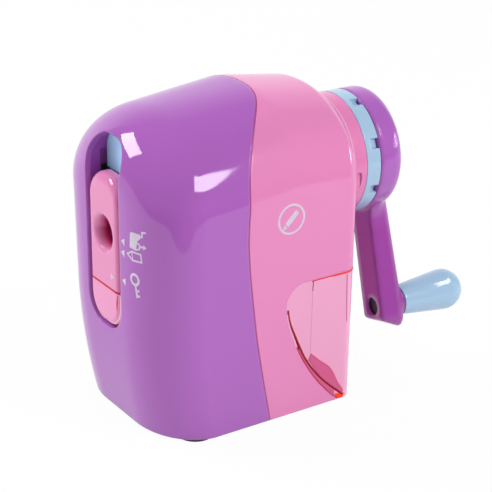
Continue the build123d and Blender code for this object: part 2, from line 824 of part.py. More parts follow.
def knob_screw():
    """Shouldered screw through the arm, the knob's spindle."""
    seat = y_arm + knob_screw_recess
    screw = rod(knob_screw_head, seat - knob_screw_head_height, seat, knob_x, knob_z)
    return screw + rod(knob_screw_radius, seat, y_knob + knob_screw_depth, knob_x, knob_z)


def crank_knob():
    """Light-blue knob, a cone that runs smoothly into a ball."""
    ball = y_knob_end - knob_ball_radius
    run = ball - y_knob
    dip = asin(knob_ball_radius / hypot(knob_neck_radius, run)) - atan2(knob_neck_radius, run)
    shoulder = (knob_ball_radius * cos(dip), ball - knob_ball_radius * sin(dip))
    cone = Line((knob_neck_radius, y_knob), shoulder)
    cap = CenterArc((0, ball), knob_ball_radius, -degrees(dip), 90 + degrees(dip))
    rest = Polyline((0, y_knob_end), (0, y_knob), (knob_neck_radius, y_knob))
    knob = Pos(knob_x, 0, knob_z) * revolve(make_face([cone, cap, rest]), Axis.Y)
    bore = knob_screw_radius + running_gap
    return knob - rod(bore, y_knob - knob_gap, y_knob + knob_screw_depth + slide_gap, knob_x, knob_z)


os.makedirs("parts", exist_ok=True)
pieces = {
    "front_casing": front_casing,
    "rear_casing": rear_casing,
    "base_plate": base_plate,
    "base_screws": base_screws,
    "feet": feet,
    "shutter_channel": shutter_channel,
    "shutter_spring": shutter_spring,
    "shutter_cap": shutter_cap,
    "shutter_tail": shutter_tail,
    "bulkhead": bulkhead,
    "shavings_chute": shavings_chute,
    "drawer": drawer,
    "cutter_unit": cutter_unit,
    "ring_gear": ring_gear,
    "shaft_bush": shaft_bush,
    "helical_cutter": helical_cutter,
    "cutter_pinion": cutter_pinion,
    "cutter_axle": cutter_axle,
    "cutter_carriage": cutter_carriage,
    "drum_screws": drum_screws,
    "feed_drum": feed_drum,
    "roller_pins": roller_pins,
    "crank_shaft": crank_shaft,
    "shaft_screw": shaft_screw,
    "thrust_washer": thrust_washer,
    "crank_arm": crank_arm,
    "knob_screw": knob_screw,
    "crank_knob": crank_knob,
}
for name, make in pieces.items():
    save(name, make())
for number, turn in enumerate(ring_of(roller_count), start=1):
    save(f"feed_roller_{number}", feed_roller(turn))
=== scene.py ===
import math

import bpy
from mathutils import Matrix, Vector


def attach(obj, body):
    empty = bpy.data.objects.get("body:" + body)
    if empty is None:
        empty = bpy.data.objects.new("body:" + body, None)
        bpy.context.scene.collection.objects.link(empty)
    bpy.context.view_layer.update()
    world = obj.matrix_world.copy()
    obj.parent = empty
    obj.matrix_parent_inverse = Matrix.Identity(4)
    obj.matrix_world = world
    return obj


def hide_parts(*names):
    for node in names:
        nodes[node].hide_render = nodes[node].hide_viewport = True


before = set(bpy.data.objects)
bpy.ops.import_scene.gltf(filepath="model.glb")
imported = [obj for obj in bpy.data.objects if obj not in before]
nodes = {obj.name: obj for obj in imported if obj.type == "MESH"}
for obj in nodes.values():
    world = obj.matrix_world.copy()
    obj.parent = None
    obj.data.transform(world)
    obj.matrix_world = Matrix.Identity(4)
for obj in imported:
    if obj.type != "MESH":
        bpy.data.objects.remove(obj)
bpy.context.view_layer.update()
MM = 0.001

# Front casing: one glossy purple moulding with an arched roof, open at the slot for the shutter.
# It is injection moulded ABS, coloured right through, with a faint ripple in its gloss.
# Two screws from below hold it to the base plate, and it butts against the pink casing at the seam.
front_y = -66.81
rear_y = 10.55
lower_edge = 1.0
shaft_height = 77.0
casing_wall = 2.2
front_half_width = 33.8
rear_half_width = 30.8
side_lean = 2.9
corner_width = 23.2
corner_depth = 17.0
rear_round = 5.0
front_roof = 103.1
ridge_roof = 108.38
rear_roof = 105.1
ridge_y = rear_y - 26.0
ridge_blend = 2.5
front_fullness = 1.78
ridge_fullness = 2.35
rear_fullness = 2.15
brow_depth = 20.0
brow_drop = 14.1
rear_drop = 5.0
draw_back = 4.7
draw_back_height = 42.0
seam_gap = 0.24
seam_sink = 0.06
seam_points = [(-23.75, 1.0), (-30.45, 38.0), (-33.45, 75.0), (-31.6, 90.0), (-24.6, 101.0), (-15.45, 108.4)]
wall_rows = 44
arch_rows = 44
slot_width = 22.6
slot_low = 33.3
slot_high = 98.0
slot_corner = 9.3
slot_corner_steps = 28
slot_tool_depth = 24.0


def through(points, start=None, end=None, steps=24):
    """A smooth run of points through a few given ones, with its end directions if they matter."""
    knots = [Vector(point) for point in points]
    spans = [(second - first).length for first, second in zip(knots, knots[1:])]
    slopes = [(second - first) / span for first, second, span in zip(knots, knots[1:], spans)]
    tangents = [Vector(start).normalized() if start else slopes[0]]
    for first, second, before, after in zip(slopes, slopes[1:], spans, spans[1:]):
        tangents.append((first * after + second * before) / (before + after))
    tangents.append(Vector(end).normalized() if end else slopes[-1])
    run = []
    for index, span in enumerate(spans):
        for step in range(steps):
            t = step / steps
            leaving = knots[index] * (1 + 2 * t) + tangents[index] * span * t
            arriving = knots[index + 1] * (3 - 2 * t) - tangents[index + 1] * span * (1 - t)
            run.append(leaving * (1 - t) ** 2 + arriving * t * t)
    return run + [knots[-1]]


seam_run = through(seam_points)


def seam_depth(z):
    """Depth of the seam at a height."""
    for first, second in zip(seam_run, seam_run[1:]):
        if z <= second.y:
            return first.x + (second.x - first.x) * max(0.0, (z - first.y) / (second.y - first.y))
    return seam_run[-1].x


def quarter(run, reach):
    """The drop of a quarter round, as a share of its height, at a run from its end."""
    share = 1 - min(max(run / reach, 0.0), 1.0)
    return 1 - math.sqrt(1 - share * share)


def roof_height(y):
    """Height of the roof along its middle, with a soft ridge and rounded ends."""
    front_slope = (ridge_roof - front_roof) / (ridge_y - front_y)
    rear_slope = (rear_roof - ridge_roof) / (rear_y - ridge_y)
    run = y - ridge_y
    height = ridge_roof + (front_slope if run < 0 else rear_slope) * run
    soft = max(0.0, 1 - abs(run) / ridge_blend)
    height -= (front_slope - rear_slope) * ridge_blend / 4 * soft * soft
    height -= brow_drop * quarter(y - front_y, brow_depth)
    return height - rear_drop * quarter(rear_y - y, rear_round)


def arch_fullness(y):
    """How full the arch is at a depth: slack at the front, squarer towards the rear."""
    if y > ridge_y:
        return ridge_fullness + (rear_fullness - ridge_fullness) * (y - ridge_y) / (rear_y - ridge_y)
    return front_fullness + (ridge_fullness - front_fullness) * (y - front_y) / (ridge_y - front_y)


def plan_point(zone, share, z):
    """Half width and depth of the casing's skin, by zone along its depth, at a height."""
    low = min(z, shaft_height)
    lean = side_lean * (low - lower_edge) / (shaft_height - lower_edge)
    front_x = front_half_width + lean
    rear_x = rear_half_width + lean
    nose = front_y + draw_back * max(0.0, 1 - (low - lower_edge) / draw_back_height) ** 2
    side_start = nose + corner_depth
    side_end = rear_y - rear_round
    if zone == "nose":
        return share * (front_x - corner_width), nose
    if zone == "front corner":
        turn = math.radians(90 * share)
        x = front_x - corner_width + corner_width * math.sin(turn)
        return x, side_start - corner_depth * math.cos(turn)
    if zone == "rear corner":
        turn = math.radians(90 * share)
        return rear_x - rear_round + rear_round * math.cos(turn), side_end + rear_round * math.sin(turn)
    if zone == "tail":
        return (1 - share) * (rear_x - rear_round), rear_y
    seam = seam_depth(z)
    if zone == "seam":
        y = seam + seam_gap * (2 * share - 1)
        return front_x + (rear_x - front_x) * (y - side_start) / (side_end - side_start) - seam_sink, y
    if zone == "front side":
        y = side_start + (seam - seam_gap - side_start) * share
    else:
        y = seam + seam_gap + (side_end - seam - seam_gap) * share
    return front_x + (rear_x - front_x) * (y - side_start) / (side_end - side_start), y


def skin_point(zone, share, row):
    """A point of the skin on the +X half: up the wall by rows, then over the arch."""
    if row <= wall_rows:
        z = lower_edge + (shaft_height - lower_edge) * row / wall_rows
        x, y = plan_point(zone, share, z)
        return x, y, z
    turn = math.radians(90 * (row - wall_rows) / arch_rows)
    z = shaft_height
    for _ in range(8):
        x, y = plan_point(zone, share, z)
        rise = roof_height(y) - shaft_height
        if zone == "nose":
            rise *= share
        if zone == "tail":
            rise *= 1 - share
        if zone == "seam":
            rise -= seam_sink
        power = 2 / arch_fullness(y)
        z = shaft_height + rise * math.sin(turn) ** power
    return x * max(0.0, math.cos(turn)) ** power, y, z


def only(piece):
    """Make one object the selected and active one."""
    bpy.ops.object.select_all(action="DESELECT")
    piece.select_set(True)
    bpy.context.view_layer.objects.active = piece


def finish_mesh(piece, angle=35):
    """Merge, face outwards and shade smooth below an angle."""
    only(piece)
    bpy.ops.object.mode_set(mode="EDIT")
    bpy.ops.mesh.select_all(action="SELECT")
    bpy.ops.mesh.remove_doubles(threshold=0.002 * MM)
    bpy.ops.mesh.dissolve_degenerate(threshold=0.001 * MM)
    bpy.ops.mesh.normals_make_consistent(inside=False)
    bpy.ops.object.mode_set(mode="OBJECT")
    bpy.ops.object.shade_smooth_by_angle(angle=math.radians(angle))


def modify(piece, kind, **settings):
    """Add a modifier and apply it."""
    only(piece)
    modifier = piece.modifiers.new(kind.lower(), kind)
    for key, value in settings.items():
        setattr(modifier, key, value)
    bpy.ops.object.modifier_apply(modifier=modifier.name)


def cut(piece, tool):
    """Cut a tool's shape out of a piece and throw the tool away."""
    modify(piece, "BOOLEAN", operation="DIFFERENCE", solver="EXACT", object=tool)
    bpy.data.objects.remove(tool)


def moulded_shell(name, zones, thickness=casing_wall):
    """Bend a grid over the casing's form, zone by zone, and give it its thickness."""
    stations = [(zone, step / count) for zone, count in zones for step in range(count)]
    stations.append((zones[-1][0], 1.0))
    rows = wall_rows + arch_rows
    bpy.ops.object.select_all(action="DESELECT")
    bpy.ops.mesh.primitive_grid_add(x_subdivisions=2 * rows, y_subdivisions=len(stations) - 1, size=2.0)
    shell = bpy.context.object
    shell.name = name
    for vertex in shell.data.vertices:
        across = round(vertex.co.x * rows)
        zone, share = stations[round((vertex.co.y + 1) / 2 * (len(stations) - 1))]
        x, y, z = skin_point(zone, share, rows - abs(across))
        vertex.co = Vector((math.copysign(x, across), y, z)) * MM
    finish_mesh(shell)
    modify(shell, "SOLIDIFY", thickness=thickness * MM, offset=-1.0, use_even_offset=True)
    return shell


front_shell = moulded_shell("front_shell", [("nose", 12), ("front corner", 26), ("front side", 26)])

bpy.ops.object.select_all(action="DESELECT")
bpy.ops.mesh.primitive_cube_add(size=1.0)
slot_tool = bpy.context.object
slot_middle = (slot_low + slot_high) / 2
for vertex in slot_tool.data.vertices:
    x, y, z = vertex.co
    up = slot_middle + z * (slot_high - slot_low)
    vertex.co = Vector((x * slot_width, front_y + y * slot_tool_depth, up)) * MM
bpy.ops.object.mode_set(mode="EDIT")
bpy.ops.mesh.select_all(action="DESELECT")
bpy.ops.object.mode_set(mode="OBJECT")
for edge in slot_tool.data.edges:
    first, second = (slot_tool.data.vertices[index].co for index in edge.vertices)
    edge.select = abs(first.y - second.y) > 1 * MM
bpy.ops.object.mode_set(mode="EDIT")
bpy.ops.mesh.select_mode(type="EDGE")
bpy.ops.mesh.bevel(offset=slot_corner * MM, segments=slot_corner_steps)
bpy.ops.object.mode_set(mode="OBJECT")
cut(front_shell, slot_tool)
finish_mesh(front_shell)


class Shade:
    """A shader socket that adds Math nodes where it is used in an expression."""

    def __init__(self, tree, socket):
        self.tree = tree
        self.socket = socket

    def node(self, kind, settings=None, **values):
        """Add a node with its settings first, then the values or links of its sockets."""
        made = self.tree.nodes.new("ShaderNode" + kind)
        for key, value in (settings or {}).items():
            setattr(made, key, value)
        for key, value in values.items():
            socket = made.inputs[int(key[1:])] if key[1:].isdigit() else made.inputs[key.replace("_", " ")]
            if isinstance(value, Shade):
                self.tree.links.new(value.socket, socket)
            else:
                socket.default_value = value
        return made

    def take(self, made, output=0):
        """Wrap one output of a node."""
        return Shade(self.tree, made.outputs[output])

    def maths(self, operation, first, second):
        """One Math node on two values."""
        return self.take(self.node("Math", {"operation": operation}, i0=first, i1=second))

    def noise(self, scale, detail, **more):
        """One noise texture in the piece's own space."""
        return self.take(self.node("TexNoise", Vector=self, Scale=scale, Detail=detail, **more))

    def axis(self, number):
        """One coordinate: 0 across, 1 in depth, 2 up."""
        return self.take(self.node("SeparateXYZ", Vector=self), number)

    def ramp(self, value, start, end, low=0.0, high=1.0):
        """A value's run from start to end as a run from low to high."""
        return self.take(self.node("MapRange", i0=value, i1=start, i2=end, i3=low, i4=high))

    def blend(self, share, first, second):
        """One colour mixed into another by a share."""
        return self.take(self.node("Mix", {"data_type": "RGBA"}, i0=share, i6=first, i7=second), 2)

    def bump(self, height, strength, distance, **more):
        """A fine relief from a height."""
        return self.take(self.node("Bump", Strength=strength, Distance=distance * MM, Height=height, **more))

    def feed(self, shader, name):
        """Link to a named input of a shader."""
        self.tree.links.new(self.socket, shader.inputs[name])

    def __add__(self, other):
        return self.maths("ADD", self, other)

    def __mul__(self, other):
        return self.maths("MULTIPLY", self, other)

    def __sub__(self, other):
        return self.maths("SUBTRACT", self, other)

    def __rsub__(self, other):
        return self.maths("SUBTRACT", other, self)

    __radd__ = __add__
    __rmul__ = __mul__


def linear(red, green, blue):
    """A screen colour, 0 to 255, as the linear colour that shaders use."""
    parts = []
    for value in (red, green, blue):
        share = value / 255
        parts.append(share / 12.92 if share <= 0.04045 else ((share + 0.055) / 1.055) ** 2.4)
    return (*parts, 1.0)


def object_place(tree):
    """A socket with the place on the piece, to start expressions from."""
    return Shade(tree, tree.nodes.new("ShaderNodeTexCoord").outputs["Object"])


def new_material(name):
    """An empty node material, its Principled shader and a socket to start expressions from."""
    material = bpy.data.materials.new(name)
    material.use_nodes = True
    return material, material.node_tree.nodes["Principled BSDF"], object_place(material.node_tree)


def toned_down(colour, share):
    """A colour at a share of its brightness."""
    return tuple(part * share for part in colour[:3]) + (1.0,)


def moulded_plastic(name, colour, roughness=0.06, edge_round=0.6, shade_colour=None, shade_heights=(0, 1), edge_highlight=0.5):
    """Glossy moulded plastic: a faint ripple, soft tone drift, handling marks and rounded edges paled by a
    painted highlight.

    Where it is given a shade colour, it fades into that between two heights as painted shade."""
    ripple = 0.005
    paling = 0.14
    material, shader, place = new_material(name)
    drift = place.noise(18.0, 2.0)
    smudge = place.noise(140.0, 4.0, Roughness=0.6)
    peel = place.noise(420.0, 1.0)
    rounded = place.take(place.node("Bevel", {"samples": 6}, Radius=edge_round * MM))
    true_normal = place.take(place.node("NewGeometry"), "Normal")
    turned_off = place.node("VectorMath", {"operation": "DOT_PRODUCT"}, i0=rounded, i1=true_normal)
    edge = place.ramp(place.take(turned_off, "Value"), 1.0, 0.75)
    # Painted highlight: the colour pales along rounded edges, where the rounded shading turns away from the
    # true surface.
    pale = tuple(part + (1 - part) * paling for part in colour[:3]) + (1.0,)
    tone = place.blend(drift, toned_down(colour, 0.94), colour)
    # Painted shade: a darker colour faded in between two heights.
    if shade_colour:
        tone = place.blend(place.ramp(place.axis(2), shade_heights[0] * MM, shade_heights[1] * MM), tone, shade_colour)
    place.blend(edge * edge_highlight, tone, pale).feed(shader, "Base Color")
    (smudge * 0.04 + (roughness - 0.02)).feed(shader, "Roughness")
    place.bump(peel, ripple, 0.4, Normal=rounded).feed(shader, "Normal")
    shader.inputs["IOR"].default_value = 1.5
    return material


def retouch(material):
    """The shader of a finished material, a socket to start expressions from, and the colour it has."""
    tree = material.node_tree
    shader = tree.nodes["Principled BSDF"]
    return shader, object_place(tree), Shade(tree, shader.inputs["Base Color"].links[0].from_socket)


def paint(piece, material):
    """Give a piece or a CAD node its finish."""
    piece.data.materials.clear()
    piece.data.materials.append(material)


purple = moulded_plastic("purple_abs", linear(176, 100, 192), roughness=0.035, edge_round=0.8)
paint(front_shell, purple)
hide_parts("front_casing")
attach(front_shell, "housing")

# Rear casing: the pink moulding behind the seam, with the drawer's bay cut out of its sides and tail.
# It is the same plastic as the front, and it carries the round collar for the cutter unit.
# Two screws from below hold it, and the bay leaves a thin even gap round the drawer.
bay_gap = 0.05
drawer_top = 48.0
drawer_scoop = [(-18.25, 40.5), (-16.15, 33.3), (-10.05, 18.5), (-1.45, 6.5), (4.65, 1.0)]
drawer_corner = -10.95


def drawer_outline(grow):
    """Side outline of the drawer from its rear foot up the scoop and along the top, in depth and height."""
    scoop = [(y - grow, z - grow) for y, z in drawer_scoop]
    run = through(scoop, start=(0, -1), end=(1, -0.7))
    first_y, first_z = scoop[0]
    top = drawer_top + grow
    corner = []
    for step in range(1, 13):
        turn = math.radians(90 * step / 12)
        corner.append(Vector((drawer_corner - (drawer_corner - first_y) * math.cos(turn),
                              first_z + (top - first_z) * math.sin(turn))))
    return list(reversed(run)) + corner


def drawn_out(name, points, travel):
    """A flat outline through points in millimetres, drawn out along a travel."""
    bpy.ops.object.select_all(action="DESELECT")
    bpy.ops.mesh.primitive_circle_add(vertices=len(points), fill_type="NGON")
    made = bpy.context.object
    made.name = name
    for vertex, point in zip(made.data.vertices, points):
        vertex.co = Vector(point) * MM
    bpy.ops.object.mode_set(mode="EDIT")
    bpy.ops.mesh.select_all(action="SELECT")
    bpy.ops.mesh.extrude_region_move(TRANSFORM_OT_translate={"value": Vector(travel) * MM})
    bpy.ops.object.mode_set(mode="OBJECT")
    finish_mesh(made)
    return made


def prism(name, outline, low, high):
    """A side outline in depth and height, drawn out across X from one place to another."""
    return drawn_out(name, [(low, y, z) for y, z in outline], (high - low, 0, 0))


rear_shell = moulded_shell("rear_shell", [("rear side", 26), ("rear corner", 12), ("tail", 14)])
behind = rear_y + rear_round
bay = drawer_outline(bay_gap)
bay += [Vector((behind, drawer_top + bay_gap)), Vector((behind, lower_edge - bay_gap))]
bay_reach = 60.0
cut(rear_shell, prism("bay_tool", bay, -bay_reach, bay_reach))


def turned(name, profile, segments=96):
    """Turn a ring along Y through a list of radii and depths, about the shaft, as on a lathe."""
    bpy.ops.object.select_all(action="DESELECT")
    radius, depth = profile[0]
    middle = Vector((0, depth, shaft_height)) * MM
    bpy.ops.mesh.primitive_circle_add(vertices=segments, radius=radius * MM, fill_type="NOTHING",
                                      location=middle, rotation=(math.pi / 2, 0, 0))
    made = bpy.context.object
    made.name = name
    bpy.ops.object.transform_apply(location=True, rotation=True, scale=True)
    bpy.ops.object.mode_set(mode="EDIT")
    bpy.ops.mesh.select_all(action="SELECT")
    for last, step in zip(profile, profile[1:]):
        bpy.ops.mesh.extrude_edges_move(TRANSFORM_OT_translate={"value": (0, (step[1] - last[1]) * MM, 0)})
        grow = step[0] / last[0]
        bpy.ops.transform.resize(value=(grow, 1, grow), center_override=(0, 0, shaft_height * MM))
    bpy.ops.object.mode_set(mode="OBJECT")
    finish_mesh(made)
    return made


collar_radius = 21.0
collar_bore = 18.2
collar_end = 21.4
bore_radius = collar_radius - 0.6
bore_tip = 0.01
bore_start = 4.0
bore_end = 14.0
cut(rear_shell, turned("bore_tool", [(bore_tip, bore_start), (bore_radius, bore_start),
                                     (bore_radius, bore_end), (bore_tip, bore_end)]))
finish_mesh(rear_shell)
pink = moulded_plastic("pink_abs", linear(233, 138, 193))
paint(rear_shell, pink)
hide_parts("rear_casing")
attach(rear_shell, "housing")

# Collar: the round neck of the rear casing that the cutter unit plugs into.
# It is moulded with the casing, in a thinner section that lets a little light through, with faint ridges and
# painted lines of shade and highlight beside them.
# A shallow pill-shaped recess is cut into its side.
collar_start = 8.35
collar_steps = [(0.3, collar_start), (0.3, 11.3), (0.7, 11.7), (0.7, 12.5), (0.35, 12.9), (0.35, 13.9),
                (0.6, 14.2), (0.6, 14.8), (0.05, 15.3), (0.0, 21.3), (0.1, collar_end)]
collar_skin = [(collar_radius - sink, depth) for sink, depth in collar_steps]
collar_inside = [(collar_bore, collar_end), (collar_bore, collar_start)]
collar = turned("collar", [(collar_bore, collar_start)] + collar_skin + collar_inside)
pill_y = 18.0
pill_z = 73.8
pill_half = 1.4
pill_round = 1.3
pill_sink = 0.9
pill_reach = 3.0
pill = []
for step in range(24):
    turn = math.radians(15 * step)
    middle = pill_z + math.copysign(pill_half, math.sin(turn + math.radians(1)))
    pill.append((pill_y + pill_round * math.cos(turn), middle + pill_round * math.sin(turn)))
cut(collar, prism("pill_tool", pill, collar_radius - pill_sink, collar_radius + pill_reach))
finish_mesh(collar)
collar_pink = moulded_plastic("collar_pink", linear(232, 136, 190), roughness=0.15)
collar_shader, collar_place, collar_tone = retouch(collar_pink)
collar_depth = collar_place.axis(1)
ridge_core = 0.12
ridge_edge = 0.34
# Painted shade and highlight: dark and light lines round the collar, where its ridges would turn from the
# light and catch it.
for ridge, tone in ((14.3, linear(205, 140, 182)), (14.9, linear(240, 188, 216)),
                    (15.8, linear(204, 142, 182)), (16.5, linear(240, 184, 214))):
    off = collar_place.maths("ABSOLUTE", collar_depth - ridge * MM, 0)
    line = collar_place.ramp(off, ridge_core * MM, ridge_edge * MM, 0.75, 0.0)
    collar_tone = collar_place.blend(line, collar_tone, tone)
collar_tone.feed(collar_shader, "Base Color")
paint(collar, collar_pink)
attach(collar, "housing")

# Seam tongue: a thin rib of the rear casing that stands in the joint and keeps the light out.
# It is painted a deeper pink than its casing, as painted shade in the joint, and it shows as a deep pink line
# between the two mouldings.
tongue_thickness = 0.8
tongue = moulded_shell("seam_tongue", [("seam", 2)], thickness=tongue_thickness)
finish_mesh(tongue)
joint_shade_pink = moulded_plastic("joint_shade_pink", linear(194, 58, 158), roughness=0.3)
paint(tongue, joint_shade_pink)
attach(tongue, "housing")

# Base plate: the dark floor of the casing, with its four steel screws and four rubber pads.
# The plate is matte moulded plastic, and the pads are stuck under it.
inner_plastic = moulded_plastic("inner_plastic", linear(96, 44, 106), roughness=0.4)
paint(nodes["base_plate"], inner_plastic)


def machined_steel(name, colour, roughness):
    """Steel with fine machining lines."""
    material, shader, place = new_material(name)
    (place.noise(900.0, 2.0) * 0.15 + (roughness - 0.07)).feed(shader, "Roughness")
    shader.inputs["Base Color"].default_value = colour
    shader.inputs["Metallic"].default_value = 1.0
    return material


steel = machined_steel("machined_steel", linear(185, 186, 190), 0.28)
paint(nodes["base_screws"], steel)


def soft_rubber(name, colour):
    """Matte rubber with a fine grain."""
    material, shader, place = new_material(name)
    grain = place.noise(1500.0, 3.0)
    place.bump(grain, 0.25, 0.2).feed(shader, "Normal")
    (grain * 0.2 + 0.6).feed(shader, "Roughness")
    shader.inputs["Base Color"].default_value = colour
    return material


rubber = soft_rubber("black_rubber", linear(38, 36, 40))
paint(nodes["feet"], rubber)

# Inside the casings: the shutter's channel and leaf spring, the bulkhead and the shavings chute.
# They are matte mouldings, painted a darker purple than the casing as painted shade of the recess, and seen
# only through the slot and the clear drawer.
recess_shade_purple = moulded_plastic("recess_shade_purple", linear(120, 46, 128), roughness=0.35)
for inner in ("shutter_channel", "bulkhead", "shavings_chute"):
    paint(nodes[inner], recess_shade_purple)
paint(nodes["shutter_spring"], steel)

# Shutter: the opaque pink cap with the pencil funnel, which slides in the slot, and its clear tail.
# The cap is glossy plastic, and the tail is clear tinted plastic that glows red along its edges; pale lines
# round the tail and up the cap's left side are painted highlights.
shutter_travel = 11.5
hole_height = shaft_height - shutter_travel
funnel_reach = 6.4
funnel_mouth = front_y + 0.9
funnel_throat = front_y + 3.2
cap_flat = 7.4
cap_edge = 10.9
shutter_pink = moulded_plastic("shutter_pink", linear(234, 142, 192), edge_round=0.4)
cap_shader, cap_place, cap_tone = retouch(shutter_pink)
cap_across = cap_place.axis(0)
cap_up = cap_place.axis(2) - hole_height * MM
in_funnel = cap_place.maths("LESS_THAN", cap_across * cap_across + cap_up * cap_up, (funnel_reach * MM) ** 2)
# Painted shade: the funnel turns deep crimson towards its throat.
funnel_shade = cap_place.ramp(cap_place.axis(1), funnel_mouth * MM, funnel_throat * MM)
cap_tone = cap_place.blend(funnel_shade * in_funnel, cap_tone, linear(178, 24, 94))
# Painted shade: the cap darkens to deep magenta towards its right side.
cap_side_shade = cap_place.ramp(cap_across, cap_flat * MM, cap_edge * MM, 0.0, 0.9)
cap_place.blend(cap_side_shade, cap_tone, linear(180, 44, 124)).feed(cap_shader, "Base Color")
paint(nodes["shutter_cap"], shutter_pink)


def clear_plastic(name, colour, cover, roughness=0.07):
    """Clear tinted plastic: thin to look through, thicker in tone where it turns away."""
    material, shader, place = new_material(name)
    place.bump(place.noise(60.0, 1.0), 0.03, 0.5).feed(shader, "Normal")
    turning = place.take(place.node("LayerWeight", Blend=0.35), "Facing")
    (turning * 0.45 + cover).feed(shader, "Alpha")
    shader.inputs["Base Color"].default_value = colour
    shader.inputs["Roughness"].default_value = roughness
    shader.inputs["IOR"].default_value = 1.5
    return material


shutter_front = front_y + 0.01
shutter_half = 11.0
shutter_foot = slot_low + 0.3
shutter_joint = 47.5
shutter_corner = 9.0
shutter_round = 3.4
tail_pink = clear_plastic("tail_pink", linear(238, 150, 198), 0.8)
paint(nodes["shutter_tail"], tail_pink)


def shutter_place(x, z, lift):
    """A point on the shutter's rounded front at a place across and up, lifted off it."""
    side = abs(x) - (shutter_half - shutter_corner)
    below = shutter_foot + shutter_corner - z
    inside = shutter_corner - math.hypot(max(side, 0.0), max(below, 0.0))
    bare = max(shutter_round - min(inside, shutter_round), 0.0)
    back = shutter_round - math.sqrt(shutter_round ** 2 - min(bare, shutter_round) ** 2)
    return Vector((x, shutter_front + back - lift, z))


def bead(name, points, radius):
    """A thin round bead along a run of points, as a mesh."""
    path = bpy.data.curves.new(name, "CURVE")
    path.dimensions = "3D"
    path.bevel_depth = radius * MM
    path.bevel_resolution = 2
    path.use_fill_caps = True
    line = path.splines.new("POLY")
    line.points.add(len(points) - 1)
    for knot, point in zip(line.points, points):
        knot.co = (*(Vector(point) * MM), 1.0)
    made = bpy.data.objects.new(name, path)
    bpy.context.scene.collection.objects.link(made)
    only(made)
    bpy.ops.object.convert(target="MESH")
    made = bpy.context.object
    finish_mesh(made, 60)
    return made


def glowing_edge(name, colour, strength):
    """The cut edge of clear plastic, where the light that runs inside it comes out."""
    material, shader, place = new_material(name)
    tone = place.blend(place.noise(90.0, 2.0), toned_down(colour, 0.7), colour)
    tone.feed(shader, "Base Color")
    tone.feed(shader, "Emission Color")
    shader.inputs["Emission Strength"].default_value = strength
    shader.inputs["Roughness"].default_value = 0.15
    shader.inputs["Specular IOR Level"].default_value = 0.15
    return material


red_edge = glowing_edge("red_edge", linear(222, 32, 44), 0.3)
dark_red = glowing_edge("dark_red", linear(196, 16, 40), 0.2)
highlight_pink = glowing_edge("highlight_pink", linear(250, 196, 224), 0.15)


def tail_arc(inset, begin, end, steps=24):
    """Places along the tail's rounded foot, inset from its outline, between two turns."""
    run = []
    for step in range(steps + 1):
        turn = math.radians(begin + (end - begin) * step / steps)
        corner = math.copysign(shutter_half - shutter_corner, math.cos(turn))
        run.append((corner + (shutter_corner - inset) * math.cos(turn),
                    shutter_foot + shutter_corner - (shutter_corner - inset) * math.sin(turn)))
    return run


# Painted highlight: pale glowing lines inside the tail's outline and up the cap's left edge, where rounded
# edges catch the light.
rim_inset = 1.5
rim_half = shutter_half - rim_inset
rim_gap = 0.8
rim_run = [(rim_half, shutter_joint - rim_gap)]
rim_run += tail_arc(rim_inset, 0, 180, 48)
rim_run.append((-rim_half, shutter_joint - rim_gap))
cap_run = [(-rim_half - 0.3, shutter_joint + rim_gap + 1.2 * step) for step in range(0, 22)]
line_stand = 0.03
for word, run, radius, finish in (("edge_glow", tail_arc(0.7, 15, 80), 0.5, dark_red),
                                  ("rim", rim_run, 0.7, highlight_pink), ("cap_rim", cap_run, 0.6, highlight_pink)):
    line = bead(f"shutter_{word}", [shutter_place(x, z, line_stand - radius) for x, z in run], radius)
    paint(line, finish)
    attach(line, "shutter")

# Pencil guide: a pink sleeve behind the shutter's funnel, and a light-blue shield behind the slot.
# The sleeve is moulded on the shutter and painted deeper pink as painted shade in the bore, and the shield
# stands in the channel ahead of the feed drum, with painted light across it.
sleeve_bore = 4.45
sleeve_radius = 5.5
sleeve_start = 5.0
sleeve_end = 7.45
sleeve = turned("pencil_sleeve", [(sleeve_bore, sleeve_start), (sleeve_radius, sleeve_start),
                                  (sleeve_radius, sleeve_end), (sleeve_bore, sleeve_end),
                                  (sleeve_bore, sleeve_start)], 64)
for vertex in sleeve.data.vertices:
    vertex.co += Vector((0, shutter_front, hole_height - shaft_height)) * MM
# Painted shade: the sleeve is a deeper pink than the shutter it is moulded on, for the dark bore.
sleeve_shade_pink = moulded_plastic("sleeve_shade_pink", linear(196, 60, 128), edge_round=0.3)
paint(sleeve, sleeve_shade_pink)
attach(sleeve, "shutter")


def slab(name, outline, front, rear):
    """A front outline across and up, drawn back from one depth to another."""
    return drawn_out(name, [(x, front, z) for x, z in outline], (0, rear - front, 0))


def arched(half, foot, top, corner):
    """A front outline with a straight foot and rounded upper corners, across and up."""
    run = [(-half, foot), (half, foot)]
    for side, start in ((1, 0), (-1, 90)):
        for step in range(0, 10):
            turn = math.radians(start + 10 * step)
            run.append((side * (half - corner) + corner * math.cos(turn),
                        top - corner + corner * math.sin(turn)))
    return run


shield_front = front_y + 7.85
shield_thickness = 0.8
shield_outline = arched(half=11.1, foot=83.5, top=96.4, corner=6.0)
shield = slab("drum_shield", shield_outline, shield_front, shield_front + shield_thickness)
shield_blue = moulded_plastic("shield_blue", linear(170, 203, 230))
shield_shader, shield_place, _ = retouch(shield_blue)
# Painted light: the shield glows light blue on its right and fades dark to the left.
shield_lit = shield_place.ramp(shield_place.axis(0), -11 * MM, 3 * MM)
shield_painted_light = shield_place.blend(shield_lit, (0.0, 0.0, 0.01, 1.0), linear(112, 150, 178))
shield_painted_light.feed(shield_shader, "Emission Color")
shield_shader.inputs["Emission Strength"].default_value = 1.0
paint(shield, shield_blue)
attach(shield, "housing")

